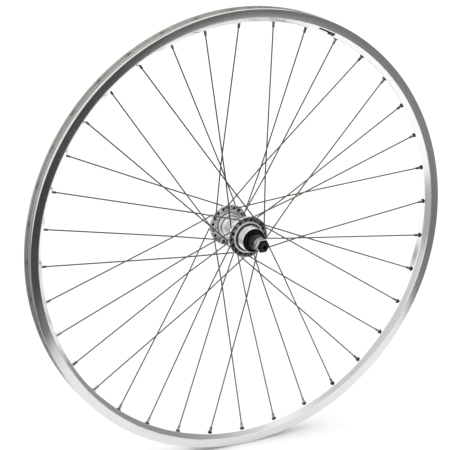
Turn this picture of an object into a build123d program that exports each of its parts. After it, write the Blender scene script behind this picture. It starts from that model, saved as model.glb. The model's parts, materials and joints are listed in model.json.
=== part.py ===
from build123d import *
import math
import os

# Spoked rear bicycle wheel, 700C (622 x 19), with a threaded hub on a hollow quick-release axle.
# Millimetres. The origin is the middle of the rim and of the axle. +Y runs along the axle towards
# the left side, so the drive side faces -Y. +Z is up. Angles round the wheel are from +Z towards +X.

# --- driving dimensions -------------------------------------------------------------------------

# rim
RIM_OUTER_R = 317.0
RIM_BED_R = 298.0
BEAD_SEAT_R = 311.0
RIM_HALF_WIDTH = 12.0
BRAKE_TRACK_INNER_R = 305.4
LIP_HALF_WIDTH = 12.18
FACET_HIGH_R, FACET_HIGH_Y = 304.3, 11.2
FACET_LOW_R, FACET_LOW_Y = 298.6, 6.3
BED_WALL = 1.6
WELL_FLOOR_R = 308.6
WELL_FLOOR_WALL = 1.4
SEAM_GAP = 0.2
SEAM_ANGLE = 184.5
VALVE_ANGLE = 4.5
VALVE_HOLE_R = 4.25
ACCESS_HOLE_R = 4.5
SLEEVE_HALF_ANGLE = 4.2
SLEEVE_CLEARANCE = 0.05
SLEEVE_WALL = 1.5

# lacing
SPOKE_COUNT = 36
FIRST_NIPPLE_ANGLE = -70.5
CROSSING_ANGLE = 60.0
SPOKE_R = 1.0
SPOKE_HEAD_R = 1.95
SPOKE_HEAD_HEIGHT = 1.2
ELBOW_R = 2.2
KINK_R = 80.0
CROSSING_GAP = 0.24
OUTER_ELBOW_OFFSET = 2.6
INNER_ELBOW_OFFSET = 1.8
SPOKE_END_R = 300.5
SEAT_R = 298.8

# nipples and eyelets
NIPPLE_SHANK_R = 2.0
NIPPLE_HEAD_R = 3.0
NIPPLE_BORE_R = 1.05
NIPPLE_FLATS = 3.3
NIPPLE_FLATS_LENGTH = 7.0
NIPPLE_CONE_START_R = 300.3
NIPPLE_LENGTH = 12.0
SLOT_WIDTH = 1.0
SLOT_DEPTH = 0.8
EYELET_LIP_R = 3.2
EYELET_PROUD = 0.9
EYELET_TUBE_R = 2.6
EYELET_BORE_R = 2.35
EYELET_HOLE_R = 2.62

# hub shell
FLANGE_R = 29.6
FLANGE_THICKNESS = 3.0
DRIVE_FLANGE_Y = -21.3
LEFT_FLANGE_Y = 38.3
SPOKE_CIRCLE_R = 24.8
SPOKE_HOLE_R = 1.3
BARREL_R = 12.0
THREAD_R = 17.45
SHOULDER_R = 22.2
SHOULDER_INNER_R = 20.0
SHOULDER_HEIGHT = 1.8
DRIVE_END_Y = -39.4
LEFT_END_Y = 47.5
CUP_SEAT_R = 14.0
CAP_SEAT_R = 16.25
CAP_SEAT_DEPTH = 3.4
CAP_RIM_R = 16.8
CAP_RIM_THICKNESS = 0.8
BARREL_BORE_R = 7.5

# bearings
BALL_R = 3.175
BALL_COUNT = 9
BALL_CIRCLE_R = 9.6
RACE_R = 3.3
BALL_PLANE_DEPTH = 6.4
CUP_DEPTH = 4.6

# axle and what it carries
AXLE_R = 5.0
AXLE_BORE_R = 2.75
AXLE_HALF_LENGTH = 73.0
AXLE_END_R = 4.75
LOCKNUT_FACE_Y = 67.5
LOCKNUT_FLATS = 17.0
LOCKNUT_THICKNESS = 5.2
ON_AXLE_R = 5.02
CONE_OUTER_R = 10.0
CONE_OUT = 8.0
CONE_FLATS = 17.0
COLLAR_R = 10.8
COLLAR_TAPER_Y = -47.6
COLLAR_END_R = 9.0
COLLAR_END_Y = -55.6
SPACER_R = 9.2
WASHER_R = 9.2
WASHER_THICKNESS = 1.2

DRIVE, LEFT = -1, 1
FLANGE_Y = {DRIVE: DRIVE_FLANGE_Y, LEFT: LEFT_FLANGE_Y}
END_Y = {DRIVE: DRIVE_END_Y, LEFT: LEFT_END_Y}
SIDE_NAME = {DRIVE: "drive", LEFT: "left"}


# --- helpers ------------------------------------------------------------------------------------


def turned(outline):
    """A solid of revolution about the axle, from (radius, y) points."""
    return revolve(make_face(Polyline(*outline, close=True)), Axis.Y)


def tube(outer_r, inner_r, y_from, y_to, chamfer_size=0.0):
    """A plain ring on the axle, with its two outer edges chamfered."""
    low, high, c = min(y_from, y_to), max(y_from, y_to), chamfer_size
    outline = [(inner_r, low), (outer_r - c, low), (outer_r - c, high), (inner_r, high)]
    if c:
        outline[2:2] = [(outer_r, low + c), (outer_r, high - c)]
    return turned(outline)


def mirrored(half_outline):
    """A full (radius, y) outline from its +Y half."""
    return half_outline + [(r, -y) for r, y in reversed(half_outline)]


def about_axle(shape, angle):
    return Rot(0, angle, 0) * shape


def radial_cylinder(radius, r_from, r_to):
    """A cylinder along +Z, between two distances from the axle."""
    length = r_to - r_from
    return Pos(0, 0, (r_from + r_to) / 2) * Cylinder(radius, length)


def nipple_angles():
    return [FIRST_NIPPLE_ANGLE + i * 360 / SPOKE_COUNT for i in range(SPOKE_COUNT)]


# --- rim ----------------------------------------------------------------------------------------


def rim_cavity_outline():
    floor_under_r = WELL_FLOOR_R - WELL_FLOOR_WALL
    bed_top_r = RIM_BED_R + BED_WALL
    return mirrored(
        [
            (floor_under_r, 5.6),
            (309.4, 7.6),
            (309.4, 10.5),
            (305.6, 10.5),
            (300.0, 5.7),
            (bed_top_r, 5.0),
        ]
    )


def rim_outer_outline():
    return mirrored(
        [
            (WELL_FLOOR_R, 5.0),
            (BEAD_SEAT_R, 7.0),
            (BEAD_SEAT_R, 10.3),
            (314.2, 10.3),
            (315.0, 9.5),
            (316.4, 9.5),
            (RIM_OUTER_R, 10.1),
            (RIM_OUTER_R, 11.2),
            (316.2, RIM_HALF_WIDTH),
            (BRAKE_TRACK_INNER_R + 0.4, RIM_HALF_WIDTH),
            (BRAKE_TRACK_INNER_R + 0.2, LIP_HALF_WIDTH),
            (BRAKE_TRACK_INNER_R - 0.6, LIP_HALF_WIDTH),
            (FACET_HIGH_R, FACET_HIGH_Y),
            (FACET_LOW_R, FACET_LOW_Y),
            (RIM_BED_R, 5.5),
        ]
    )


def make_rim():
    rim = turned(rim_outer_outline()) - turned(rim_cavity_outline())
    bed_hole = radial_cylinder(EYELET_HOLE_R, RIM_BED_R - 5, WELL_FLOOR_R - 4)
    access_hole = radial_cylinder(ACCESS_HOLE_R, WELL_FLOOR_R - 4, RIM_OUTER_R)
    drills = []
    for angle in nipple_angles():
        drills += [about_axle(bed_hole, angle), about_axle(access_hole, angle)]
    valve_hole = radial_cylinder(VALVE_HOLE_R, RIM_BED_R - 5, RIM_OUTER_R)
    drills.append(about_axle(valve_hole, VALVE_ANGLE))
    seam = Pos(0, 0, RIM_OUTER_R) * Box(SEAM_GAP, 3 * RIM_HALF_WIDTH, 80)
    drills.append(about_axle(seam, SEAM_ANGLE))
    return rim - drills


def make_rim_joint_sleeve():
    cavity = make_face(Polyline(*rim_cavity_outline(), close=True))
    outside = offset(cavity, -SLEEVE_CLEARANCE, kind=Kind.INTERSECTION)
    inside = offset(cavity, -SLEEVE_CLEARANCE - SLEEVE_WALL, kind=Kind.INTERSECTION)
    section = outside - inside
    sleeve = revolve(section, Axis.Y, 2 * SLEEVE_HALF_ANGLE)
    # the revolve starts at +X and turns towards -Z, the way the wheel's angles grow
    return about_axle(sleeve, SEAM_ANGLE - SLEEVE_HALF_ANGLE - 90)


def make_eyelets():
    lip_r = RIM_BED_R - EYELET_PROUD
    outline = [
        (EYELET_BORE_R, lip_r + 0.25),
        (EYELET_BORE_R + 0.25, lip_r),
        (EYELET_LIP_R - 0.35, lip_r),
        (EYELET_LIP_R, lip_r + 0.35),
        (EYELET_LIP_R, RIM_BED_R - 0.03),
        (EYELET_TUBE_R, RIM_BED_R - 0.03),
        (EYELET_TUBE_R, RIM_BED_R + BED_WALL + 0.08),
        (EYELET_LIP_R - 0.2, RIM_BED_R + BED_WALL + 0.08),
        (EYELET_LIP_R - 0.2, RIM_BED_R + BED_WALL + 0.35),
        (EYELET_BORE_R, RIM_BED_R + BED_WALL + 0.35),
    ]
    section = Plane.XZ * make_face(Polyline(*outline, close=True))
    eyelet = revolve(section, Axis.Z)
    return Compound([about_axle(eyelet, angle) for angle in nipple_angles()])


# --- lacing -------------------------------------------------------------------------------------


class Spoke:
    """Key points of one spoke whose nipple is at angle 0 on the rim.

    side is the flange it starts from. outside tells whether its run lies on the flange's outer
    face; those spokes lead round towards growing angles, the others the opposite way.
    """

    def __init__(self, side, outside):
        self.side, self.outside = side, outside
        self.turn = 1 if outside else -1
        hole_angle = math.radians(self.turn * CROSSING_ANGLE)
        self.hole_x = SPOKE_CIRCLE_R * math.sin(hole_angle)
        self.hole_z = SPOKE_CIRCLE_R * math.cos(hole_angle)
        self.face_sign = side if outside else -side
        self.elbow_y = self.start_y(side, outside)
        self.head_y = FLANGE_Y[side] - self.face_sign * (FLANGE_THICKNESS / 2 + 0.05)
        self.crossing = self.find_crossing()
        self.seat = Vector(0, 0, SEAT_R)
        self.direction = (self.seat - self.crossing).normalized()

    @staticmethod
    def start_y(side, outside):
        """Where the run would leave the elbow, measured along the axle."""
        lift = OUTER_ELBOW_OFFSET if outside else -FLANGE_THICKNESS - INNER_ELBOW_OFFSET
        return FLANGE_Y[side] + side * (FLANGE_THICKNESS / 2 + lift)

    def find_crossing(self):
        """The last crossing, where the outside spoke passes under the inside one."""
        tan = math.tan(math.radians(360 / SPOKE_COUNT)) * self.turn
        share = (self.hole_x - tan * self.hole_z) / (self.hole_x + tan * (SEAT_R - self.hole_z))
        mean_start = (self.start_y(self.side, True) + self.start_y(self.side, False)) / 2
        under = SPOKE_R + CROSSING_GAP / 2
        shift = -self.side * under if self.outside else self.side * under
        return Vector(
            self.hole_x * (1 - share),
            mean_start * (1 - share) + shift,
            self.hole_z + share * (SEAT_R - self.hole_z),
        )

    def head(self):
        """The mushroom head, against the face that the elbow isn't on."""
        up = -self.face_sign
        outline = [
            (0, 0),
            (SPOKE_R + 0.2, 0),
            (SPOKE_HEAD_R, 0.45),
            (SPOKE_HEAD_R, 0.7),
            (SPOKE_HEAD_R - 0.6, SPOKE_HEAD_HEIGHT),
            (0, SPOKE_HEAD_HEIGHT),
        ]
        head = turned([(r, up * y) for r, y in outline])
        return Pos(self.hole_x, self.head_y, self.hole_z) * head

    def make(self):
        along = self.seat + self.direction * (SPOKE_END_R - SEAT_R)
        path = FilletPolyline(
            (self.hole_x, self.head_y - self.face_sign * 0.2, self.hole_z),
            (self.hole_x, self.elbow_y, self.hole_z),
            self.crossing,
            along,
            radius=[ELBOW_R, KINK_R],
        )
        wire = sweep(Plane(path @ 0, z_dir=path % 0) * Circle(SPOKE_R), path=path)
        return wire + self.head()


def spoke_angles(side, outside):
    """Nipple angles of one group: sides alternate, and so do the two directions on a side."""
    first = {(DRIVE, True): 0, (LEFT, True): 1, (DRIVE, False): 2, (LEFT, False): 3}
    return nipple_angles()[first[side, outside] :: 4]


def make_spokes(side, outside):
    spoke = Spoke(side, outside).make()
    return Compound([about_axle(spoke, angle) for angle in spoke_angles(side, outside)])


def make_nipple(spoke):
    """One nipple on its spoke, its head outwards, built along +Z and then laid on the spoke."""
    cone_start = NIPPLE_CONE_START_R - SEAT_R
    top = cone_start + 1.6
    bottom = top - NIPPLE_LENGTH
    outline = [
        (NIPPLE_BORE_R, bottom),
        (NIPPLE_SHANK_R - 0.35, bottom),
        (NIPPLE_SHANK_R, bottom + 0.5),
        (NIPPLE_SHANK_R, cone_start),
        (NIPPLE_HEAD_R, cone_start + 0.9),
        (NIPPLE_HEAD_R, cone_start + 1.2),
        (NIPPLE_HEAD_R - 0.6, top),
        (NIPPLE_BORE_R, top),
    ]
    nipple = revolve(Plane.XZ * make_face(Polyline(*outline, close=True)), Axis.Z)
    flats = Box(9, 9, NIPPLE_FLATS_LENGTH) - Box(NIPPLE_FLATS, NIPPLE_FLATS, NIPPLE_FLATS_LENGTH)
    slot = Box(9, SLOT_WIDTH, 2 * SLOT_DEPTH)
    nipple -= Pos(0, 0, bottom + NIPPLE_FLATS_LENGTH / 2) * flats
    nipple -= Pos(0, 0, top) * slot
    return Plane(origin=spoke.seat, z_dir=spoke.direction, x_dir=(1, 0, 0)) * nipple


def make_nipples():
    nipples = []
    for side in (DRIVE, LEFT):
        for outside in (True, False):
            nipple = make_nipple(Spoke(side, outside))
            nipples += [about_axle(nipple, angle) for angle in spoke_angles(side, outside)]
    return Compound(nipples)


# --- hub shell ----------------------------------------------------------------------------------


def flange_outline(y_mid, inward):
    """Rim of one flange from its barrel side to its outer side, as (radius, y)."""
    half = FLANGE_THICKNESS / 2
    return [
        (20.2, y_mid + inward * half),
        (FLANGE_R - 0.8, y_mid + inward * half),
        (FLANGE_R, y_mid + inward * (half - 0.8)),
        (FLANGE_R, y_mid - inward * (half - 0.8)),
        (FLANGE_R - 0.8, y_mid - inward * half),
    ]


def make_hub_shell():
    drive_face = DRIVE_FLANGE_Y - FLANGE_THICKNESS / 2
    left_face = LEFT_FLANGE_Y + FLANGE_THICKNESS / 2
    shoulder_y = drive_face - SHOULDER_HEIGHT
    relief_r = THREAD_R - 0.7
    drive_end = [
        (SHOULDER_R, drive_face),
        (SHOULDER_R, shoulder_y + 0.4),
        (SHOULDER_R - 0.4, shoulder_y),
        (SHOULDER_INNER_R, shoulder_y),
        (SHOULDER_INNER_R - 0.6, drive_face - 0.2),
        (relief_r, drive_face - 0.2),
        (relief_r, shoulder_y - 0.6),
        (THREAD_R, shoulder_y - 1.3),
        (THREAD_R, DRIVE_END_Y + 0.8),
        (THREAD_R - 0.8, DRIVE_END_Y),
    ]
    left_end = [
        (20.0, left_face),
        (18.2, left_face + 1.6),
        (17.6, left_face + 3.4),
        (17.6, LEFT_END_Y - 0.8),
        (16.8, LEFT_END_Y),
    ]
    barrel = [
        (18.6, LEFT_FLANGE_Y - 4.2),
        (17.0, LEFT_FLANGE_Y - 6.6),
        (13.4, LEFT_FLANGE_Y - 9.4),
        (BARREL_R, LEFT_FLANGE_Y - 13.5),
        (BARREL_R, DRIVE_FLANGE_Y + 13.5),
        (13.4, DRIVE_FLANGE_Y + 9.4),
        (17.0, DRIVE_FLANGE_Y + 6.6),
        (18.6, DRIVE_FLANGE_Y + 4.2),
    ]
    outside = (
        [(0, DRIVE_END_Y)]
        + list(reversed(drive_end))
        + list(reversed(flange_outline(DRIVE_FLANGE_Y, 1)))
        + list(reversed(barrel))
        + flange_outline(LEFT_FLANGE_Y, -1)
        + left_end
        + [(0, LEFT_END_Y)]
    )
    shell = turned(outside)
    shell -= tube(BARREL_BORE_R, 0, DRIVE_END_Y, LEFT_END_Y)
    for side in (DRIVE, LEFT):
        end = END_Y[side]
        seat_bottom = end - side * (BALL_PLANE_DEPTH + CUP_DEPTH)
        shell -= tube(CAP_SEAT_R, 0, end, end - side * CAP_SEAT_DEPTH)
        shell -= tube(CUP_SEAT_R, 0, end, seat_bottom)
    drill = Rot(90, 0, 0) * Cylinder(SPOKE_HOLE_R, 4 * FLANGE_THICKNESS)
    drills = []
    for side in (DRIVE, LEFT):
        for outside_run in (True, False):
            spoke = Spoke(side, outside_run)
            placed = Pos(spoke.hole_x, FLANGE_Y[side], spoke.hole_z) * drill
            drills += [about_axle(placed, angle) for angle in spoke_angles(side, outside_run)]
    return shell - drills


# --- bearings -----------------------------------------------------------------------------------


def ball_plane(side):
    return END_Y[side] - side * BALL_PLANE_DEPTH


def race_groove(side):
    """The space the balls roll in, a ring round the axle."""
    section = Pos(BALL_CIRCLE_R, ball_plane(side)) * Circle(RACE_R)
    return revolve(section, Axis.Y)


def bearing_ring(side, outline):
    """A turned race, from (radius, distance outboard of the balls) points."""
    ring = turned([(r, ball_plane(side) + side * out) for r, out in outline])
    return ring - race_groove(side)


def make_cup(side):
    wall_r, lip_r = 12.7, 8.8
    rim_out = 1.6
    return bearing_ring(
        side,
        [
            (lip_r, -CUP_DEPTH + 0.02),
            (CUP_SEAT_R - 0.02, -CUP_DEPTH + 0.02),
            (CUP_SEAT_R - 0.02, rim_out),
            (wall_r, rim_out),
            (wall_r, 0),
            (lip_r, 0),
        ],
    )


def make_cone(side):
    nose_r, shoulder_r = 6.9, 9.0
    cone = bearing_ring(
        side,
        [
            (ON_AXLE_R, -3.4),
            (nose_r - 0.4, -3.4),
            (nose_r, -3.0),
            (nose_r, 1.0),
            (shoulder_r, 2.3),
            (shoulder_r, 4.2),
            (CONE_OUTER_R, 5.0),
            (CONE_OUTER_R, CONE_OUT - 0.3),
            (CONE_OUTER_R - 0.3, CONE_OUT),
            (ON_AXLE_R, CONE_OUT),
        ],
    )
    flats_length = 2.2
    block = Box(30, flats_length, 30) - Box(30, flats_length, CONE_FLATS)
    flats_y = ball_plane(side) + side * (CONE_OUT - flats_length / 2)
    return cone - Pos(0, flats_y, 0) * block


def make_balls(side):
    balls = []
    for i in range(BALL_COUNT):
        ball = Pos(0, ball_plane(side), BALL_CIRCLE_R) * Sphere(BALL_R)
        balls.append(about_axle(ball, i * 360 / BALL_COUNT))
    return Compound(balls)


def make_dust_cap(side):
    """A dished ring pressed in the end of the hub shell, with a thin rim over the shell's end face."""
    skirt_r, hole_r, wall = CAP_SEAT_R - 0.02, 10.6, 1.0
    end = BALL_PLANE_DEPTH + 0.02
    out = end + CAP_RIM_THICKNESS
    skirt = BALL_PLANE_DEPTH - 3.3
    dish = out - 1.5
    outline = [
        (hole_r, dish),
        (skirt_r - 2.4, dish),
        (skirt_r - 1.2, out),
        (CAP_RIM_R - 0.3, out),
        (CAP_RIM_R, out - 0.3),
        (CAP_RIM_R, end),
        (skirt_r, end),
        (skirt_r, skirt),
        (skirt_r - wall, skirt),
        (skirt_r - wall, dish - wall),
        (hole_r, dish - wall),
    ]
    return turned([(r, ball_plane(side) + side * y) for r, y in outline])


# --- axle and its fittings ----------------------------------------------------------------------


def make_axle():
    """The hollow axle. The two ends that lie in the dropouts are a little thinner than the threads."""
    half_outline = [
        (AXLE_BORE_R, AXLE_HALF_LENGTH),
        (AXLE_END_R - 0.5, AXLE_HALF_LENGTH),
        (AXLE_END_R, AXLE_HALF_LENGTH - 0.5),
        (AXLE_END_R, LOCKNUT_FACE_Y),
        (AXLE_R, LOCKNUT_FACE_Y),
    ]
    return turned(mirrored(half_outline))


def cone_end_y(side):
    return ball_plane(side) + side * CONE_OUT


def locknut_inner_y(side):
    return side * (LOCKNUT_FACE_Y - LOCKNUT_THICKNESS)


def make_locknut(side):
    """A hexagon nut, its corners turned down at both ends."""
    nut = extrude(RegularPolygon(LOCKNUT_FLATS / 2, 6, major_radius=False), LOCKNUT_THICKNESS)
    nut = Rot(90, 0, 0) * nut
    nut = Pos(0, max(side * LOCKNUT_FACE_Y, locknut_inner_y(side)), 0) * nut
    corner_r = LOCKNUT_FLATS / math.sqrt(3)
    turned_blank = tube(corner_r + 0.05, ON_AXLE_R, locknut_inner_y(side), side * LOCKNUT_FACE_Y, 0.9)
    return nut & turned_blank


def make_lock_washer(side):
    inner = locknut_inner_y(side)
    return tube(WASHER_R, ON_AXLE_R, inner - side * WASHER_THICKNESS, inner, 0.2)


def make_spacer(side):
    start = COLLAR_END_Y if side == DRIVE else cone_end_y(LEFT)
    stop = locknut_inner_y(side) - side * WASHER_THICKNESS
    return tube(SPACER_R, ON_AXLE_R, start, stop, 0.3)


def make_drive_collar():
    """The collar outside the cone, tapering towards the spacer."""
    return turned(
        [
            (ON_AXLE_R, cone_end_y(DRIVE)),
            (COLLAR_R, cone_end_y(DRIVE)),
            (COLLAR_R, COLLAR_TAPER_Y),
            (COLLAR_END_R, COLLAR_END_Y),
            (ON_AXLE_R, COLLAR_END_Y),
        ]
    )


# --- stickers -----------------------------------------------------------------------------------


def facet_patch(from_share, to_share, angle_from, angle_to):
    """A thin sheet on the drive-side facet, between two shares of the facet's width."""
    low, high = Vector(FACET_LOW_R, -FACET_LOW_Y), Vector(FACET_HIGH_R, -FACET_HIGH_Y)
    run = high - low
    normal = Vector(run.Y, -run.X).normalized()
    near, far = 0.03, 0.13
    corners = [
        low + run * from_share + normal * near,
        low + run * to_share + normal * near,
        low + run * to_share + normal * far,
        low + run * from_share + normal * far,
    ]
    section = make_face(Polyline(*[(c.X, c.Y) for c in corners], close=True))
    return about_axle(revolve(section, Axis.Y, angle_to - angle_from), angle_from - 90)


def make_rim_stickers():
    bar = facet_patch(0.5, 0.85, 22.4, 27.6)
    block = facet_patch(0.12, 0.6, 25.5, 27.6)
    dot = facet_patch(0.35, 0.65, 11.4, 12.0)
    return Compound([bar + block, dot])


# --- the assembly -------------------------------------------------------------------------------

nodes = {
    "rim": make_rim(),
    "rim_joint_sleeve": make_rim_joint_sleeve(),
    "rim_stickers": make_rim_stickers(),
    "eyelets": make_eyelets(),
    "nipples": make_nipples(),
    "hub_shell": make_hub_shell(),
    "axle": make_axle(),
    "drive_collar": make_drive_collar(),
}
for side, name in SIDE_NAME.items():
    nodes[name + "_outer_spokes"] = make_spokes(side, True)
    nodes[name + "_inner_spokes"] = make_spokes(side, False)
    nodes[name + "_cup"] = make_cup(side)
    nodes[name + "_cone"] = make_cone(side)
    nodes[name + "_balls"] = make_balls(side)
    nodes[name + "_dust_cap"] = make_dust_cap(side)
    nodes[name + "_spacer"] = make_spacer(side)
    nodes[name + "_lock_washer"] = make_lock_washer(side)
    nodes[name + "_locknut"] = make_locknut(side)

os.makedirs("parts", exist_ok=True)
for name, shape in nodes.items():
    export_step(shape, f"parts/{name}.step")
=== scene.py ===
"""Looks of the spoked rear bicycle wheel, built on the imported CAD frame.

Shapes are worked out in millimetres and made in metres. Angles round the wheel are from +Z towards +X.
"""

import math

import json

import bmesh
import bpy
import numpy as np
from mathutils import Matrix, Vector


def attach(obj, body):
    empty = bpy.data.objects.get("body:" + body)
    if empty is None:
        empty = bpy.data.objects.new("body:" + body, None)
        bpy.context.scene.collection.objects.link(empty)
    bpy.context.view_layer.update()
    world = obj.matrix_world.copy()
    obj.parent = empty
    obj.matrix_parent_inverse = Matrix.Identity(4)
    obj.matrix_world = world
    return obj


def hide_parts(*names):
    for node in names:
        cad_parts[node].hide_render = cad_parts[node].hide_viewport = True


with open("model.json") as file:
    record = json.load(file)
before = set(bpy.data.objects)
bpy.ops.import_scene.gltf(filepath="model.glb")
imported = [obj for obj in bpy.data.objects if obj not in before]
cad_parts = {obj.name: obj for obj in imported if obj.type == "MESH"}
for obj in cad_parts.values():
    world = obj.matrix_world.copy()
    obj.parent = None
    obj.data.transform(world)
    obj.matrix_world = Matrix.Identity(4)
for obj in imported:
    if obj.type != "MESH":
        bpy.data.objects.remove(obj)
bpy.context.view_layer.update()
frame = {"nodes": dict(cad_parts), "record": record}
MM = 0.001

# --- sizes shared with the CAD ---------------------------------------------------------------------

RIM_OUTER_R = 317.0
RIM_CREST_R = 316.9
RIM_BED_R = 298.0
BEAD_SEAT_R = 311.0
RIM_HALF_WIDTH = 12.0
BRAKE_TRACK_INNER_R = 305.4
LIP_HALF_WIDTH = 12.18
FACET_HIGH_R, FACET_HIGH_Y = 304.3, 11.2
FACET_LOW_R, FACET_LOW_Y = 298.6, 6.3
WELL_HALF_WIDTH = 10.45
HOOK_HALF_WIDTH = 9.5
WELL_FLOOR_R = 308.6
BEAD_WALL_HALF_WIDTH = 10.3
CAVITY_WELL_R = 307.2
CAVITY_ROOF_R = 309.4
CAVITY_SHOULDER_R = 305.6
CAVITY_FLOOR_R = 299.6
CAVITY_HALF_WIDTH = 10.5
SEAM_ANGLE = 184.5
VALVE_ANGLE = 4.5
VALVE_HOLE_R = 4.25
ACCESS_HOLE_R = 4.5
EYELET_HOLE_R = 2.62

SPOKE_COUNT = 36
FIRST_NIPPLE_ANGLE = -70.5
CROSSING_ANGLE = 60.0
SPOKE_R = 1.0
ELBOW_R = 2.2
KINK_R = 80.0
CROSSING_GAP = 0.24
OUTER_ELBOW_OFFSET = 2.6
INNER_ELBOW_OFFSET = 1.8
SPOKE_END_R = 300.5
SEAT_R = 298.8

NIPPLE_SHANK_R = 2.0
NIPPLE_HEAD_R = 3.0
NIPPLE_BORE_R = 1.05
NIPPLE_FLATS = 3.3
NIPPLE_FLATS_LENGTH = 7.0
NIPPLE_CONE_START = 1.5
NIPPLE_LENGTH = 12.0

FLANGE_R = 29.6
FLANGE_THICKNESS = 3.0
SPOKE_CIRCLE_R = 24.8
SPOKE_HOLE_R = 1.3
COUNTERSINK = 0.9
THREAD_R = 17.45
THREAD_PITCH = 25.4 / 24
THREAD_DEPTH = 0.55
SHOULDER_R = 22.2
SHOULDER_INNER_R = 20.0
NECK_TOP_R = 20.2
BARREL_R = 12.0
# each groove ring beside a flange, painted dark as the shade in the recess: radius from and to, distance
# inboard from and to
SHADED_NECK_GROOVES = ((17.5, 19.1, 2.1, 2.9), (14.4, 15.25, 6.7, 8.6))
BARREL_BORE_R = 7.5
CAP_SEAT_R = 16.25
CAP_SEAT_DEPTH = 3.4
CAP_RIM_R = 16.8
CAP_RIM_THICKNESS = 0.8
LEFT_END_R = 17.6
CUP_SEAT_R = 14.0
CUP_SEAT_DEPTH = 11.0
BALL_PLANE_DEPTH = 6.4
BALL_CIRCLE_R = 9.6
RACE_R = 3.3

AXLE_R = 5.0
AXLE_END_R = 4.75
AXLE_BORE_R = 2.75
AXLE_HALF_LENGTH = 73.0
AXLE_PITCH = 1.0
ON_AXLE_R = 5.02
LOCKNUT_FACE_Y = 67.5
LOCKNUT_FLATS = 17.0
LOCKNUT_THICKNESS = 5.2
CONE_OUTER_R = 10.0
CONE_OUT = 8.0
CONE_FLATS = 17.0
COLLAR_R = 10.8
COLLAR_TAPER_Y = -47.6
COLLAR_END_R = 9.0
COLLAR_END_Y = -55.6
SPACER_R = 9.2
WASHER_R = 9.2
WASHER_THICKNESS = 1.2

DRIVE, LEFT = -1, 1
SIDE_NAME = {DRIVE: "drive", LEFT: "left"}
FLANGE_Y = {DRIVE: -21.3, LEFT: 38.3}
END_Y = {DRIVE: -39.4, LEFT: 47.5}

# --- camera ----------------------------------------------------------------------------------------

CAMERA_AZIMUTH = -27.15
CAMERA_ELEVATION = 18.77
CAMERA_DISTANCE = 2.665
CAMERA_AIM = Vector((-0.0129, 0.0, 0.0127))
CAMERA_LENS = 148.4
SENSOR_WIDTH = 36.0


def make_camera():
    azimuth, elevation = math.radians(CAMERA_AZIMUTH), math.radians(CAMERA_ELEVATION)
    data = bpy.data.cameras.new("camera")
    data.lens = CAMERA_LENS
    data.sensor_width = SENSOR_WIDTH
    data.clip_start, data.clip_end = 0.05, 60.0
    camera = bpy.data.objects.new("camera", data)
    back = Vector(
        (
            math.sin(azimuth) * math.cos(elevation),
            -math.cos(azimuth) * math.cos(elevation),
            math.sin(elevation),
        )
    )
    camera.location = back * CAMERA_DISTANCE
    camera.rotation_mode = "QUATERNION"
    camera.rotation_quaternion = (CAMERA_AIM - camera.location).to_track_quat("-Z", "Y")
    bpy.context.scene.collection.objects.link(camera)
    bpy.context.scene.camera = camera


make_camera()

# --- node helpers ----------------------------------------------------------------------------------


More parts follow.
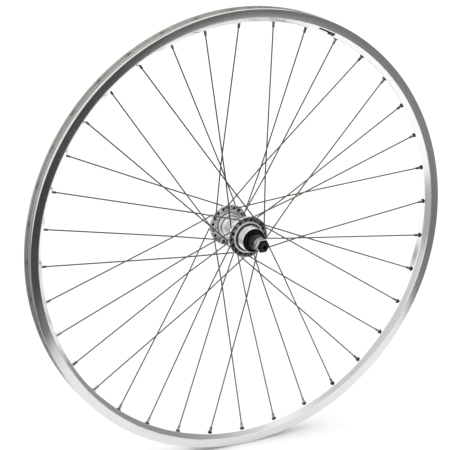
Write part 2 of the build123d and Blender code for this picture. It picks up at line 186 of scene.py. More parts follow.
class Shader:
    """A material with a Principled shader and short calls to wire nodes to it."""

    def __init__(self, name, **settings):
        self.material = bpy.data.materials.new(name)
        self.material.use_nodes = True
        self.tree = self.material.node_tree
        self.principled = self.tree.nodes["Principled BSDF"]
        for socket, value in settings.items():
            self.principled.inputs[socket.replace("_", " ")].default_value = value
        self.object_point = self.node("ShaderNodeTexCoord").outputs["Object"]

    @classmethod
    def of(cls, material):
        """The Shader of a material made before, to add to it."""
        made = cls.__new__(cls)
        made.material, made.tree = material, material.node_tree
        made.principled = made.tree.nodes["Principled BSDF"]
        made.object_point = made.node("ShaderNodeTexCoord").outputs["Object"]
        return made

    def source(self, socket):
        """What feeds a socket of the Principled shader."""
        return self.principled.inputs[socket].links[0].from_socket

    def node(self, kind, inputs=(), **settings):
        made = self.tree.nodes.new(kind)
        for key, value in settings.items():
            setattr(made, key, value)
        for socket, value in dict(inputs).items():
            self.feed(made.inputs[socket], value)
        return made

    def feed(self, socket, value):
        if isinstance(value, bpy.types.NodeSocket):
            self.tree.links.new(value, socket)
        else:
            socket.default_value = value

    def math(self, operation, *values):
        made = self.node("ShaderNodeMath", operation=operation)
        for socket, value in zip(made.inputs, values):
            self.feed(socket, value)
        return made.outputs[0]

    def vector_math(self, operation, *values):
        made = self.node("ShaderNodeVectorMath", operation=operation)
        for socket, value in zip(made.inputs, values):
            self.feed(socket, value)
        return made

    def noise(self, scale, vector=None, detail=3.0, roughness=0.5):
        vector = vector or self.object_point
        inputs = {"Vector": vector, "Scale": scale, "Detail": detail, "Roughness": roughness}
        return self.node("ShaderNodeTexNoise", inputs).outputs["Fac"]

    def ramp(self, value, low, high, low_value, high_value):
        """value from low..high, as low_value..high_value, and held at both ends."""
        inputs = {"Value": value, "From Min": low, "From Max": high}
        inputs |= {"To Min": low_value, "To Max": high_value}
        return self.node("ShaderNodeMapRange", inputs).outputs["Result"]

    def mix(self, factor, first, second):
        made = self.node("ShaderNodeMix", data_type="RGBA")
        self.feed(made.inputs["Factor"], factor)
        self.feed(made.inputs[6], first)
        self.feed(made.inputs[7], second)
        return made.outputs[2]

    def bump(self, height, strength, distance, normal=None):
        inputs = {"Height": height, "Strength": strength, "Distance": distance}
        if normal is not None:
            inputs["Normal"] = normal
        return self.node("ShaderNodeBump", inputs).outputs["Normal"]

    def set(self, socket, value):
        self.feed(self.principled.inputs[socket], value)

    def blend(self, mask, colour):
        """Lays a colour over the base colour where the mask is 1."""
        self.set("Base Color", self.mix(mask, self.source("Base Color"), colour))

    def roughen(self, mask, roughness):
        """Raises the roughness to at least this where the mask is 1."""
        at_least = self.math("MULTIPLY", mask, roughness)
        self.set("Roughness", self.math("MAXIMUM", at_least, self.source("Roughness")))

    def around_axle(self):
        """(distance from the axle, distance along it, unit vector round it) of the shaded point."""
        parts = self.node("ShaderNodeSeparateXYZ", {"Vector": self.object_point})
        flat = self.node("ShaderNodeCombineXYZ", {"X": parts.outputs["X"], "Z": parts.outputs["Z"]})
        length = self.vector_math("LENGTH", flat.outputs[0]).outputs["Value"]
        unit = self.vector_math("NORMALIZE", flat.outputs[0]).outputs["Vector"]
        return length, parts.outputs["Y"], unit

    def turned_lines(self, lines_per_metre, round_scale):
        """Noise in fine rings about the axle that slowly changes round them."""
        radius, along, unit = self.around_axle()
        slow = self.node("ShaderNodeSeparateXYZ", {"Vector": unit})
        across = self.math("MULTIPLY", self.math("ADD", radius, along), lines_per_metre)
        point = self.node(
            "ShaderNodeCombineXYZ",
            {
                "X": self.math("MULTIPLY", slow.outputs["X"], round_scale),
                "Y": across,
                "Z": self.math("MULTIPLY", slow.outputs["Z"], round_scale),
            },
        )
        return self.noise(1.0, point.outputs[0], detail=2.0)


def grey(value, warm=0.0):
    return (value * (1 + warm), value, value * (1 - warm), 1.0)


def scaled(colour, factor):
    return (*[channel * factor for channel in colour[:3]], 1.0)


# --- materials -------------------------------------------------------------------------------------

# the darker tone painted on the rim's hooks and crests, a painted dark reflection along the crest
DARKER_EDGE_ALLOY = (0.64, 0.655, 0.62, 1.0)
DOT_PINK = (0.42, 0.2, 0.28, 1.0)


def make_rim_alloy():
    """Polished alloy with turned brake tracks, a satin tyre well, and hooks and crests painted darker: a
    painted dark reflection along the crest.
    """
    m = Shader("rim_alloy", Metallic=1.0)
    radius, along, _ = m.around_axle()
    side = m.math("ABSOLUTE", along)

    def beyond(across, from_y, from_r):
        outside = m.math("GREATER_THAN", radius, from_r * MM)
        return m.math("MULTIPLY", m.math(across, side, from_y * MM), outside)

    track = beyond("GREATER_THAN", RIM_HALF_WIDTH - 0.06, BRAKE_TRACK_INNER_R)
    well = beyond("LESS_THAN", WELL_HALF_WIDTH, BRAKE_TRACK_INNER_R)
    hook = m.math("MULTIPLY", well, beyond("GREATER_THAN", HOOK_HALF_WIDTH - 0.1, BEAD_SEAT_R + 0.3))
    # hooks and crests painted darker; along the crest this is a painted dark reflection
    darker_edges = m.math("MAXIMUM", hook, m.math("GREATER_THAN", radius, (RIM_CREST_R - 0.6) * MM))
    rings = m.turned_lines(3800.0, 1.2)
    rubs = m.turned_lines(500.0, 7.0)
    cloud = m.noise(14.0, detail=5.0)
    tone = m.mix(m.ramp(cloud, 0.35, 0.65, 0.0, 1.0), grey(0.85, 0.004), grey(0.88, -0.004))
    rubbed = m.mix(m.ramp(rubs, 0.45, 0.75, 0.0, 1.0), grey(0.73, 0.004), grey(0.69, 0.006))
    tone = m.mix(well, tone, grey(0.76, 0.004))
    m.set("Base Color", m.mix(darker_edges, m.mix(track, tone, rubbed), DARKER_EDGE_ALLOY))
    polished = m.ramp(cloud, 0.3, 0.7, 0.12, 0.17)
    worn = m.math("MULTIPLY", track, m.ramp(rubs, 0.3, 0.8, 0.0, 0.06))
    satin = m.math("MULTIPLY", well, 0.12)
    m.set("Roughness", m.math("ADD", m.math("ADD", polished, worn), satin))
    m.set("Normal", m.bump(rings, 0.5, 0.000003))
    return m.material


def make_plain_metal(name, tone, roughness, warm=0.0, ring_lines=2500.0, ring_depth=0.4, grime=0.2):
    """Turned or drawn metal: fine rings, cloudy roughness and a darker tarnish in patches."""
    m = Shader(name, Metallic=1.0)
    rings = m.turned_lines(ring_lines, 2.0)
    cloud = m.noise(60.0, detail=4.0)
    stain = m.noise(210.0, detail=6.0, roughness=0.65)
    clean = m.mix(m.ramp(cloud, 0.35, 0.65, 0.0, 1.0), grey(tone * 0.95, warm), grey(tone, warm))
    m.set("Base Color", m.mix(m.ramp(stain, 0.5, 0.75, 0.0, grime), clean, grey(tone * 0.45, warm + 0.03)))
    m.set("Roughness", m.ramp(cloud, 0.3, 0.7, roughness * 0.85, roughness * 1.2))
    m.set("Normal", m.bump(rings, ring_depth, 0.000004))
    return m.material


def ring_mask(m, radius_from, radius_to, y_from, y_to):
    """1 where the point lies in a ring about the axle, between two radii and two heights along it."""
    radius, along, _ = m.around_axle()
    limits = [
        m.math("GREATER_THAN", radius, radius_from * MM),
        m.math("LESS_THAN", radius, radius_to * MM),
        m.math("GREATER_THAN", along, y_from * MM),
        m.math("LESS_THAN", along, y_to * MM),
    ]
    mask = limits[0]
    for limit in limits[1:]:
        mask = m.math("MULTIPLY", mask, limit)
    return mask


def make_hub_alloy():
    """Satin alloy: duller between the flanges, painted shade in the grooves beside both flanges, dirt on
    both flanges with a painted dark reflection on the drive flange's face, and painted near-black shade in
    the relief behind the thread.
    """
    material = make_plain_metal("hub_alloy", 0.9, 0.24, grime=0.05)
    m = Shader.of(material)
    half = FLANGE_THICKNESS / 2
    between = ring_mask(m, 0.0, FLANGE_R - 0.3, FLANGE_Y[DRIVE] + half - 0.1, FLANGE_Y[LEFT] - half + 0.1)
    m.blend(between, grey(0.95))
    m.roughen(between, 0.42)
    for side, middle in FLANGE_Y.items():
        for radius_from, radius_to, near, far in SHADED_NECK_GROOVES:
            ends = sorted((middle - side * near, middle - side * far))
            groove = ring_mask(m, radius_from, radius_to, *ends)
            # painted shade in the neck groove beside the flange
            m.blend(m.math("MULTIPLY", groove, 0.85), grey(0.05, 0.05))
    left_y = FLANGE_Y[LEFT] - half
    smears = m.ramp(m.noise(420.0, detail=4.0), 0.42, 0.58, 0.0, 0.7)
    inner_face = ring_mask(m, SHOULDER_INNER_R, FLANGE_R - 0.7, left_y - 0.4, left_y + 0.1)
    m.blend(m.math("MULTIPLY", inner_face, smears), grey(0.16, 0.03))
    drive_y = FLANGE_Y[DRIVE] - half
    # patches of dirt on the drive flange's outer face, over an even darkening of the whole face that is a
    # painted dark reflection
    dirt_and_dark_reflection = m.ramp(m.noise(300.0, detail=4.0), 0.4, 0.6, 0.3, 0.75)
    outer_face = ring_mask(m, SHOULDER_R + 0.1, FLANGE_R - 0.7, drive_y - 0.1, drive_y + 0.4)
    m.blend(m.math("MULTIPLY", outer_face, dirt_and_dark_reflection), grey(0.12, 0.04))
    shoulder = ring_mask(m, SHOULDER_INNER_R - 0.1, SHOULDER_R + 0.1, drive_y - 1.9, drive_y - 0.1)
    m.blend(shoulder, grey(0.96))
    m.roughen(shoulder, 0.5)
    # the thread relief is painted near black and not metallic, in patches: painted shade in this recess
    relief = ring_mask(m, THREAD_R - 1.0, SHOULDER_INNER_R - 0.1, drive_y - 2.4, drive_y - 0.1)
    relief_shade = m.ramp(m.noise(260.0, detail=3.0), 0.25, 0.5, 0.86, 1.0)
    m.blend(m.math("MULTIPLY", relief, relief_shade), grey(0.01, 0.05))
    m.set("Metallic", m.math("SUBTRACT", 1.0, relief))
    m.roughen(relief, 0.55)
    return material


def make_nipple_brass():
    """Nickelled brass, tarnished more on some nipples than on others."""
    material = make_plain_metal("nipple", 0.4, 0.26, warm=0.14)
    m = Shader.of(material)
    tarnish = m.ramp(m.noise(23.0, detail=1.0), 0.4, 0.6, 0.1, 0.75)
    m.blend(tarnish, grey(0.09, 0.14))
    return material


def make_coated(name, colour, roughness, worn=0.0, specular=0.3):
    """A dark coat or moulding with a fine grain, cloudy sheen and, if worn, lighter rubbed spots."""
    m = Shader(name, Specular_IOR_Level=specular)
    grain = m.noise(2600.0, detail=3.0)
    cloud = m.noise(120.0, detail=4.0)
    rub = m.noise(420.0, detail=5.0, roughness=0.7)
    plain = m.mix(m.ramp(cloud, 0.3, 0.7, 0.0, 1.0), scaled(colour, 0.8), scaled(colour, 1.2))
    m.set("Base Color", m.mix(m.ramp(rub, 0.62, 0.74, 0.0, worn), plain, grey(0.2, 0.02)))
    m.set("Roughness", m.ramp(cloud, 0.3, 0.7, roughness * 0.85, roughness * 1.2))
    m.set("Normal", m.bump(grain, 0.12, 0.00002))
    return m.material


MATERIALS = {
    "rim_alloy": make_rim_alloy(),
    "joint_alloy": make_plain_metal("joint_alloy", 0.7, 0.4),
    "label": make_coated("label", grey(0.012), 0.5, worn=0.1),
    # near black and hardly reflective: dark eyelets painted darker still, as the shade in the nipple holes
    "eyelet": make_coated("eyelet", grey(0.004), 0.5, specular=0.1),
    "nipple": make_nipple_brass(),
    # the spokes' dark tone is a painted dark reflection of the room around them
    "spoke": make_plain_metal("spoke", 0.17, 0.3, warm=0.13, grime=0.35),
    "hub_alloy": make_hub_alloy(),
    "race_steel": make_plain_metal("race_steel", 0.6, 0.25),
    "ball_steel": make_plain_metal("ball_steel", 0.8, 0.08, grime=0.05),
    "cap": make_coated("cap", grey(0.006), 0.5, specular=0.2),
    # near black on the cones and the drive collar: painted shade, as they sit inside the dark end of the
    # hub
    "dark_steel": make_coated("dark_steel", grey(0.01), 0.4, worn=0.05, specular=0.25),
    "spacer_steel": make_plain_metal("spacer_steel", 0.42, 0.3, warm=0.04),
    "black_steel": make_coated("black_steel", grey(0.006), 0.22, worn=0.06, specular=0.5),
}

# the spoke heads are painted near black: painted shadow for the dark dots of shade at the flange holes
SPOKE_HEAD_SHADE = make_plain_metal("spoke_head_shade", 0.02, 0.3, warm=0.06)
# near black: painted shade on the walls of the flanges' spoke holes
HOLE_SHADE = make_coated("hole_shade", grey(0.008, 0.05), 0.7, specular=0.05)
NUT_FLAT_METAL = make_plain_metal("nut_flats", 0.62, 0.25, warm=0.02)

# --- mesh helpers ----------------------------------------------------------------------------------

# the signs of a rectangle's corners, in order round it
SQUARE = [(-1, -1), (1, -1), (1, 1), (-1, 1)]


def rounded(corners, steps=4, hold=0.12):
    """A closed outline from (a, b, fillet) corners, each rounded and held by a point beside the round."""
    points = [np.array(c[:2], float) for c in corners]
    outline = []
    for i, (point, corner) in enumerate(zip(points, corners)):
        before, after = points[i - 1] - point, points[(i + 1) % len(points)] - point
        room = 0.45 * min(np.linalg.norm(before), np.linalg.norm(after))
        before, after = before / np.linalg.norm(before), after / np.linalg.norm(after)
        half_angle = 0.5 * math.acos(np.clip(before @ after, -1, 1))
        reach = min(corner[2] / math.tan(half_angle), room) if corner[2] else 0.0
        if not reach:
            outline.append(point)
            continue
        start, stop = point + before * reach, point + after * reach
        if reach + hold < room:
            outline.append(point + before * (reach + hold))
        for s in np.linspace(0, 1, steps + 1):
            outline.append((1 - s) ** 2 * start + 2 * s * (1 - s) * point + s * s * stop)
        if reach + hold < room:
            outline.append(point + after * (reach + hold))
    return np.array(outline)


def mirrored(half_outline):
    """A full outline from its +Y half."""
    return half_outline + [(r, -y, fillet) for r, y, fillet in reversed(half_outline)]


def turned(outline, segments, shape=None):
    """Rings of points of an outline turned about the axle. shape may change (radius, y) by angle."""
    angle = np.arange(segments) * 2 * math.pi / segments
    r, a = np.meshgrid(outline[:, 0], angle, indexing="ij")
    y = np.repeat(outline[:, 1:2], segments, axis=1)
    if shape is not None:
        r, y = shape(r, y, a)
    return np.stack([r * np.sin(a), y, r * np.cos(a)], axis=-1)


def skin(rings, closed=True):
    """Vertices and faces over rings of points. A skin that isn't closed gets a cap at each end."""
    rows, columns = rings.shape[:2]
    index = np.arange(rows * columns).reshape(rows, columns)
    below = np.roll(index, -1, axis=0) if closed else index[1:]
    above = index if closed else index[:-1]
    quads = np.stack([above, below, np.roll(below, -1, axis=1), np.roll(above, -1, axis=1)], axis=-1)
    faces = [tuple(int(v) for v in quad) for quad in quads.reshape(-1, 4)]
    if not closed:
        faces.append(tuple(int(v) for v in reversed(index[0])))
        faces.append(tuple(int(v) for v in index[-1]))
    return rings.reshape(-1, 3), faces


def about_axle(points, angle):
    """Points turned about the axle by an angle in degrees."""
    c, s = math.cos(math.radians(angle)), math.sin(math.radians(angle))
    x, y, z = points[..., 0], points[..., 1], points[..., 2]
    return np.stack([c * x + s * z, y, c * z - s * x], axis=-1)


def joined(parts):
    """One set of vertices and faces from several."""
    vertices, faces, start = [], [], 0
    for part_vertices, part_faces in parts:
        vertices.append(part_vertices)
        faces += [tuple(v + start for v in face) for face in part_faces]
        start += len(part_vertices)
    return np.concatenate(vertices), faces


def link_mesh(name, vertices, faces):
    """A new object in the scene, from vertices in metres."""
    mesh = bpy.data.meshes.new(name)
    mesh.from_pydata(vertices, [], faces)
    made = bpy.data.objects.new(name, mesh)
    bpy.context.scene.collection.objects.link(made)
    return made


def make_object(name, vertices, faces):
    """A new object from vertices in millimetres, with every face turned outwards."""
    made = link_mesh(name, (np.asarray(vertices) * MM).tolist(), faces)
    work = bmesh.new()
    work.from_mesh(made.data)
    bmesh.ops.recalc_face_normals(work, faces=work.faces)
    work.to_mesh(made.data)
    work.free()
    return made


def carve(piece, cutter):
    """Cuts the cutter object out of the piece and removes it."""
    change = piece.modifiers.new("carve", "BOOLEAN")
    change.operation = "DIFFERENCE"
    change.solver = "MANIFOLD"
    change.object = cutter
    seen = piece.evaluated_get(bpy.context.evaluated_depsgraph_get())
    mesh = bpy.data.meshes.new_from_object(seen)
    piece.modifiers.clear()
    piece.data = mesh
    bpy.data.objects.remove(cutter)


def finish_piece(piece, body, slot, *nodes, sharp_angle=35.0):
    """Smooth shading, material, body and the CAD nodes that the piece stands for."""
    piece.data.polygons.foreach_set("use_smooth", [True] * len(piece.data.polygons))
    piece.data.set_sharp_from_angle(angle=math.radians(sharp_angle))
    piece.data.materials.clear()
    piece.data.materials.append(MATERIALS[slot])
    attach(piece, body)
    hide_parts(*nodes)
    return piece


def nipple_angles():
    return [FIRST_NIPPLE_ANGLE + i * 360 / SPOKE_COUNT for i in range(SPOKE_COUNT)]


def radial_post(outline, angle, segments=32):
    """Rings about a line from the axle outwards, from (radius, distance from the axle) points."""
    turn = np.arange(segments) * 2 * math.pi / segments
    outline = np.asarray(outline, float)
    r, a = np.meshgrid(outline[:, 0], turn, indexing="ij")
    z = np.repeat(outline[:, 1:2], segments, axis=1)
    return about_axle(np.stack([r * np.cos(a), r * np.sin(a), z], axis=-1), angle)


def threaded(r, y, a, y_from, y_to, pitch, depth, crest_r):
    """Cuts a helical groove in the part of a turned surface that lies at crest_r."""
    phase = np.mod(y / pitch - a / (2 * math.pi), 1.0)
    # sloping flanks, with the crest and the root each cut flat
    groove = np.clip(1.25 - np.abs(phase - 0.5) * 3.0, 0.0, 1.0)
    fade = np.clip((y - y_from) / pitch, 0, 1) * np.clip((y_to - y) / pitch, 0, 1)
    on_crest = np.abs(r - crest_r) < 0.01
    return np.where(on_crest, r - depth * groove * fade, r)


# --- rim -------------------------------------------------------------------------------------------


def make_rim():
    # radius, distance from the middle plane, fillet
    outside = mirrored(
        [
            (WELL_FLOOR_R, 1.6, 4.0),
            (BEAD_SEAT_R - 0.4, 8.4, 3.0),
            (BEAD_SEAT_R, BEAD_WALL_HALF_WIDTH, 0.4),
            (314.2, BEAD_WALL_HALF_WIDTH, 0.6),
            (315.0, HOOK_HALF_WIDTH, 0.4),
            (316.4, HOOK_HALF_WIDTH, 0.5),
            (RIM_CREST_R, 10.1, 0.5),
            (RIM_CREST_R, 11.2, 0.5),
            (316.2, RIM_HALF_WIDTH, 0.5),
            (BRAKE_TRACK_INNER_R + 0.4, RIM_HALF_WIDTH, 0.1),
            (BRAKE_TRACK_INNER_R + 0.2, LIP_HALF_WIDTH, 0.15),
            (BRAKE_TRACK_INNER_R - 0.6, LIP_HALF_WIDTH, 0.5),
            (FACET_HIGH_R, FACET_HIGH_Y, 0.4),
            (FACET_LOW_R, FACET_LOW_Y, 0.5),
            (RIM_BED_R, 5.5, 0.4),
        ]
    )
    cavity = mirrored(
        [
            (CAVITY_WELL_R, 5.6, 0.3),
            (CAVITY_ROOF_R, 7.6, 0.3),
            (CAVITY_ROOF_R, CAVITY_HALF_WIDTH, 0.3),
            (CAVITY_SHOULDER_R, CAVITY_HALF_WIDTH, 0.3),
            (CAVITY_FLOOR_R + 0.4, 5.7, 0.3),
            (CAVITY_FLOOR_R, 5.0, 0.3),
        ]
    )
    rim = make_object("rim_extrusion", *skin(turned(rounded(outside), 720)))
    carve(rim, make_object("cavity", *skin(turned(rounded(cavity, steps=2), 360))))
    low, high = RIM_BED_R - 4, RIM_OUTER_R + 4
    between = WELL_FLOOR_R - 4
    drills = []
    for angle in nipple_angles():
        stepped = [
            (EYELET_HOLE_R, low),
            (EYELET_HOLE_R, between),
            (ACCESS_HOLE_R, between),
            (ACCESS_HOLE_R, WELL_FLOOR_R - 0.35),
            (ACCESS_HOLE_R + 0.4, WELL_FLOOR_R + 0.05),
            (ACCESS_HOLE_R + 0.4, high),
        ]
        drills.append(skin(radial_post(stepped, angle, 40), closed=False))
    valve = [
        (VALVE_HOLE_R + 0.3, low),
        (VALVE_HOLE_R + 0.3, RIM_BED_R - 0.02),
        (VALVE_HOLE_R, RIM_BED_R + 0.3),
        (VALVE_HOLE_R, high),
    ]
    drills.append(skin(radial_post(valve, VALVE_ANGLE, 48), closed=False))
    carve(rim, make_object("drills", *joined(drills)))
    half_gap, y = 0.15, RIM_HALF_WIDTH + 3
    saw = np.array([[(half_gap * i, y * j, z) for i, j in SQUARE] for z in (low - 5, high)], float)
    carve(rim, make_object("saw", *skin(about_axle(saw, SEAM_ANGLE), closed=False)))
    finish_piece(rim, "wheel", "rim_alloy", "rim")


def make_eyelets():
    """The flanged rings in the rim's bed, one round each nipple."""
    lip_r, bore_r, tube_r, proud = 3.2, 2.35, 2.6, 0.9
    low = RIM_BED_R - proud
    outline = rounded(
        [
            (bore_r, low, 0.35),
            (lip_r, low, 0.5),
            (lip_r, RIM_BED_R - 0.03, 0.1),
            (tube_r, RIM_BED_R - 0.03, 0.0),
            (tube_r, RIM_BED_R + 1.7, 0.0),
            (lip_r - 0.2, RIM_BED_R + 1.7, 0.05),
            (lip_r - 0.2, RIM_BED_R + 1.95, 0.1),
            (bore_r, RIM_BED_R + 1.95, 0.1),
        ],
        hold=0.05,
    )
    parts = [skin(radial_post(outline, angle, 40)) for angle in nipple_angles()]
    piece = make_object("rim_eyelets", *joined(parts))
    finish_piece(piece, "wheel", "eyelet", "eyelets")


# --- lacing ----------------------------------------------------------------------------------------


def unit(vector):
    return vector / np.linalg.norm(vector)


class Spoke:
    """Key points of one spoke whose nipple is at angle 0, as in the CAD."""

    def __init__(self, side, outside):
        self.side, self.outside = side, outside
        self.turn = 1 if outside else -1
        angle = math.radians(self.turn * CROSSING_ANGLE)
        self.hole_x = SPOKE_CIRCLE_R * math.sin(angle)
        self.hole_z = SPOKE_CIRCLE_R * math.cos(angle)
        self.face_sign = side if outside else -side
        self.elbow_y = self.start_y(outside)
        self.head_y = FLANGE_Y[side] - self.face_sign * (FLANGE_THICKNESS / 2 + 0.05)
        self.crossing = self.find_crossing()
        self.seat = np.array([0, 0, SEAT_R])
        self.direction = unit(self.seat - self.crossing)

    def start_y(self, outside):
        lift = OUTER_ELBOW_OFFSET if outside else -FLANGE_THICKNESS - INNER_ELBOW_OFFSET
        return FLANGE_Y[self.side] + self.side * (FLANGE_THICKNESS / 2 + lift)

    def find_crossing(self):
        tan = math.tan(math.radians(360 / SPOKE_COUNT)) * self.turn
        share = (self.hole_x - tan * self.hole_z) / (self.hole_x + tan * (SEAT_R - self.hole_z))
        mean_start = (self.start_y(True) + self.start_y(False)) / 2
        under = SPOKE_R + CROSSING_GAP / 2
        shift = -self.side * under if self.outside else self.side * under
        return np.array(
            [
                self.hole_x * (1 - share),
                mean_start * (1 - share) + shift,
                self.hole_z + share * (SEAT_R - self.hole_z),
            ]
        )

    def corners(self):
        start = np.array([self.hole_x, self.head_y, self.hole_z])
        elbow = np.array([self.hole_x, self.elbow_y, self.hole_z])
        end = self.seat + self.direction * (SPOKE_END_R - SEAT_R)
        return start, elbow, self.crossing, end


def filleted(corners, radii, steps):
    """Points along straight runs joined by arcs of the given radii at the inner corners."""
    path = [corners[0]]
    for i, (radius, count) in enumerate(zip(radii, steps), start=1):
        before, after = unit(corners[i - 1] - corners[i]), unit(corners[i + 1] - corners[i])
        half_angle = 0.5 * math.acos(np.clip(before @ after, -1, 1))
        reach = radius / math.tan(half_angle)
        centre = corners[i] + unit(before + after) * radius / math.sin(half_angle)
        start = corners[i] + before * reach - centre
        stop = corners[i] + after * reach - centre
        sweep = math.acos(np.clip(unit(start) @ unit(stop), -1, 1))
        for s in np.linspace(0, 1, count):
            mixed = math.sin((1 - s) * sweep) * start + math.sin(s * sweep) * stop
            path.append(centre + mixed / math.sin(sweep))
    path.append(corners[-1])
    return np.array(path)


def tube_rings(path, radii, segments):
    """Rings about a path, carried along it without twisting."""
    tangents = np.gradient(path, axis=0)
    tangents /= np.linalg.norm(tangents, axis=1)[:, None]
    across = unit(np.cross(tangents[0], [0.3, 0.5, 0.8]))
    turn = np.arange(segments) * 2 * math.pi / segments
    rings = []
    for point, tangent, radius in zip(path, tangents, radii):
        across = unit(across - tangent * (across @ tangent))
        other = np.cross(tangent, across)
        rings.append(point + radius * (np.outer(np.cos(turn), across) + np.outer(np.sin(turn), other)))
    return np.array(rings)


# the domed head: radius, height above the flange face
SPOKE_HEAD = [
    (0.35, 1.2),
    (0.9, 1.13),
    (1.4, 0.98),
    (1.78, 0.76),
    (1.93, 0.56),
    (1.88, 0.42),
    (1.55, 0.2),
    (1.2, 0.0),
    (1.04, -0.22),
]


def spoke_rings(spoke, segments=16):
    """One spoke from its head to its end in the nipple."""
    up = -spoke.face_sign
    head = [np.array([spoke.hole_x, spoke.head_y + up * height, spoke.hole_z]) for _, height in SPOKE_HEAD]
    start, elbow, crossing, end = spoke.corners()
    start = start - np.array([0, up * 0.4, 0])
    run = filleted([start, elbow, crossing, end], [ELBOW_R, KINK_R], [9, 5])
    path = np.array(head + list(run))
    radii = [radius for radius, _ in SPOKE_HEAD] + [SPOKE_R] * len(run)
    return tube_rings(path, radii, segments)


def spoke_angles(side, outside):
    first = {(DRIVE, True): 0, (LEFT, True): 1, (DRIVE, False): 2, (LEFT, False): 3}
    return nipple_angles()[first[side, outside] :: 4]


def make_spokes(side, outside):
    rings = spoke_rings(Spoke(side, outside))
    parts = [skin(about_axle(rings, angle), closed=False) for angle in spoke_angles(side, outside)]
    node = SIDE_NAME[side] + ("_outer_spokes" if outside else "_inner_spokes")
    piece = make_object(node + "_wire", *joined(parts))
    finish_piece(piece, "wheel", "spoke", node)
    # the heads take the near-black painted shadow
    piece.data.materials.append(SPOKE_HEAD_SHADE)
    columns = rings.shape[1]
    faces_each = len(parts[0][1])
    for i, polygon in enumerate(piece.data.polygons):
        on_head = i % faces_each < len(SPOKE_HEAD) * columns or i % faces_each == faces_each - 2
        polygon.material_index = int(on_head)


def nipple_rings(spoke, segments=48):
    """One nipple: a round shank with four wrench flats, a cone and a domed head."""
    top = NIPPLE_CONE_START + 1.6
    bottom = top - NIPPLE_LENGTH
    flats_end = bottom + NIPPLE_FLATS_LENGTH
    outline = rounded(
        [
            (NIPPLE_BORE_R + 0.15, bottom, 0.1),
            (NIPPLE_SHANK_R, bottom, 0.45),
            (NIPPLE_SHANK_R, flats_end - 0.05, 0.0),
            (NIPPLE_SHANK_R, flats_end + 0.05, 0.0),
            (NIPPLE_SHANK_R, NIPPLE_CONE_START, 0.3),
            (NIPPLE_HEAD_R, NIPPLE_CONE_START + 0.9, 0.2),
            (NIPPLE_HEAD_R, NIPPLE_CONE_START + 1.2, 0.3),
            (NIPPLE_HEAD_R - 0.6, top, 0.4),
            (NIPPLE_BORE_R, top, 0.1),
        ],
        hold=0.06,
    )
    turn = np.arange(segments) * 2 * math.pi / segments
    r, a = np.meshgrid(outline[:, 0], turn, indexing="ij")
    z = np.repeat(outline[:, 1:2], segments, axis=1)
    flat_r = NIPPLE_FLATS / 2 / np.maximum(np.abs(np.cos(a)), np.abs(np.sin(a)))
    r = np.where((z < flats_end) & (r > NIPPLE_BORE_R + 0.2), np.minimum(r, flat_r), r)
    axis = spoke.direction
    across = unit(np.array([1.0, 0, 0]) - axis * axis[0])
    other = np.cross(axis, across)
    x, y = r * np.cos(a), r * np.sin(a)
    return spoke.seat + x[..., None] * across + y[..., None] * other + z[..., None] * axis


def make_nipples():
    parts = []
    for side in (DRIVE, LEFT):
        for outside in (True, False):
            rings = nipple_rings(Spoke(side, outside))
            parts += [skin(about_axle(rings, angle)) for angle in spoke_angles(side, outside)]
    piece = make_object("spoke_nipples", *joined(parts))
    finish_piece(piece, "wheel", "nipple", "nipples", sharp_angle=30.0)


# --- hub -------------------------------------------------------------------------------------------


def flange_corners(y_mid, inward):
    half = FLANGE_THICKNESS / 2
    return [
        (NECK_TOP_R, y_mid + inward * half, 0.1),
        (FLANGE_R - 0.1, y_mid + inward * half, 0.9),
        (FLANGE_R, y_mid, 0.0),
        (FLANGE_R - 0.1, y_mid - inward * half, 0.9),
    ]


def thread_run(y_from, y_to, radius, pitch):
    """Outline points close enough together to carry a thread."""
    count = int(abs(y_to - y_from) / pitch * 10)
    return [(radius, y, 0.0) for y in np.linspace(y_from, y_to, count)]


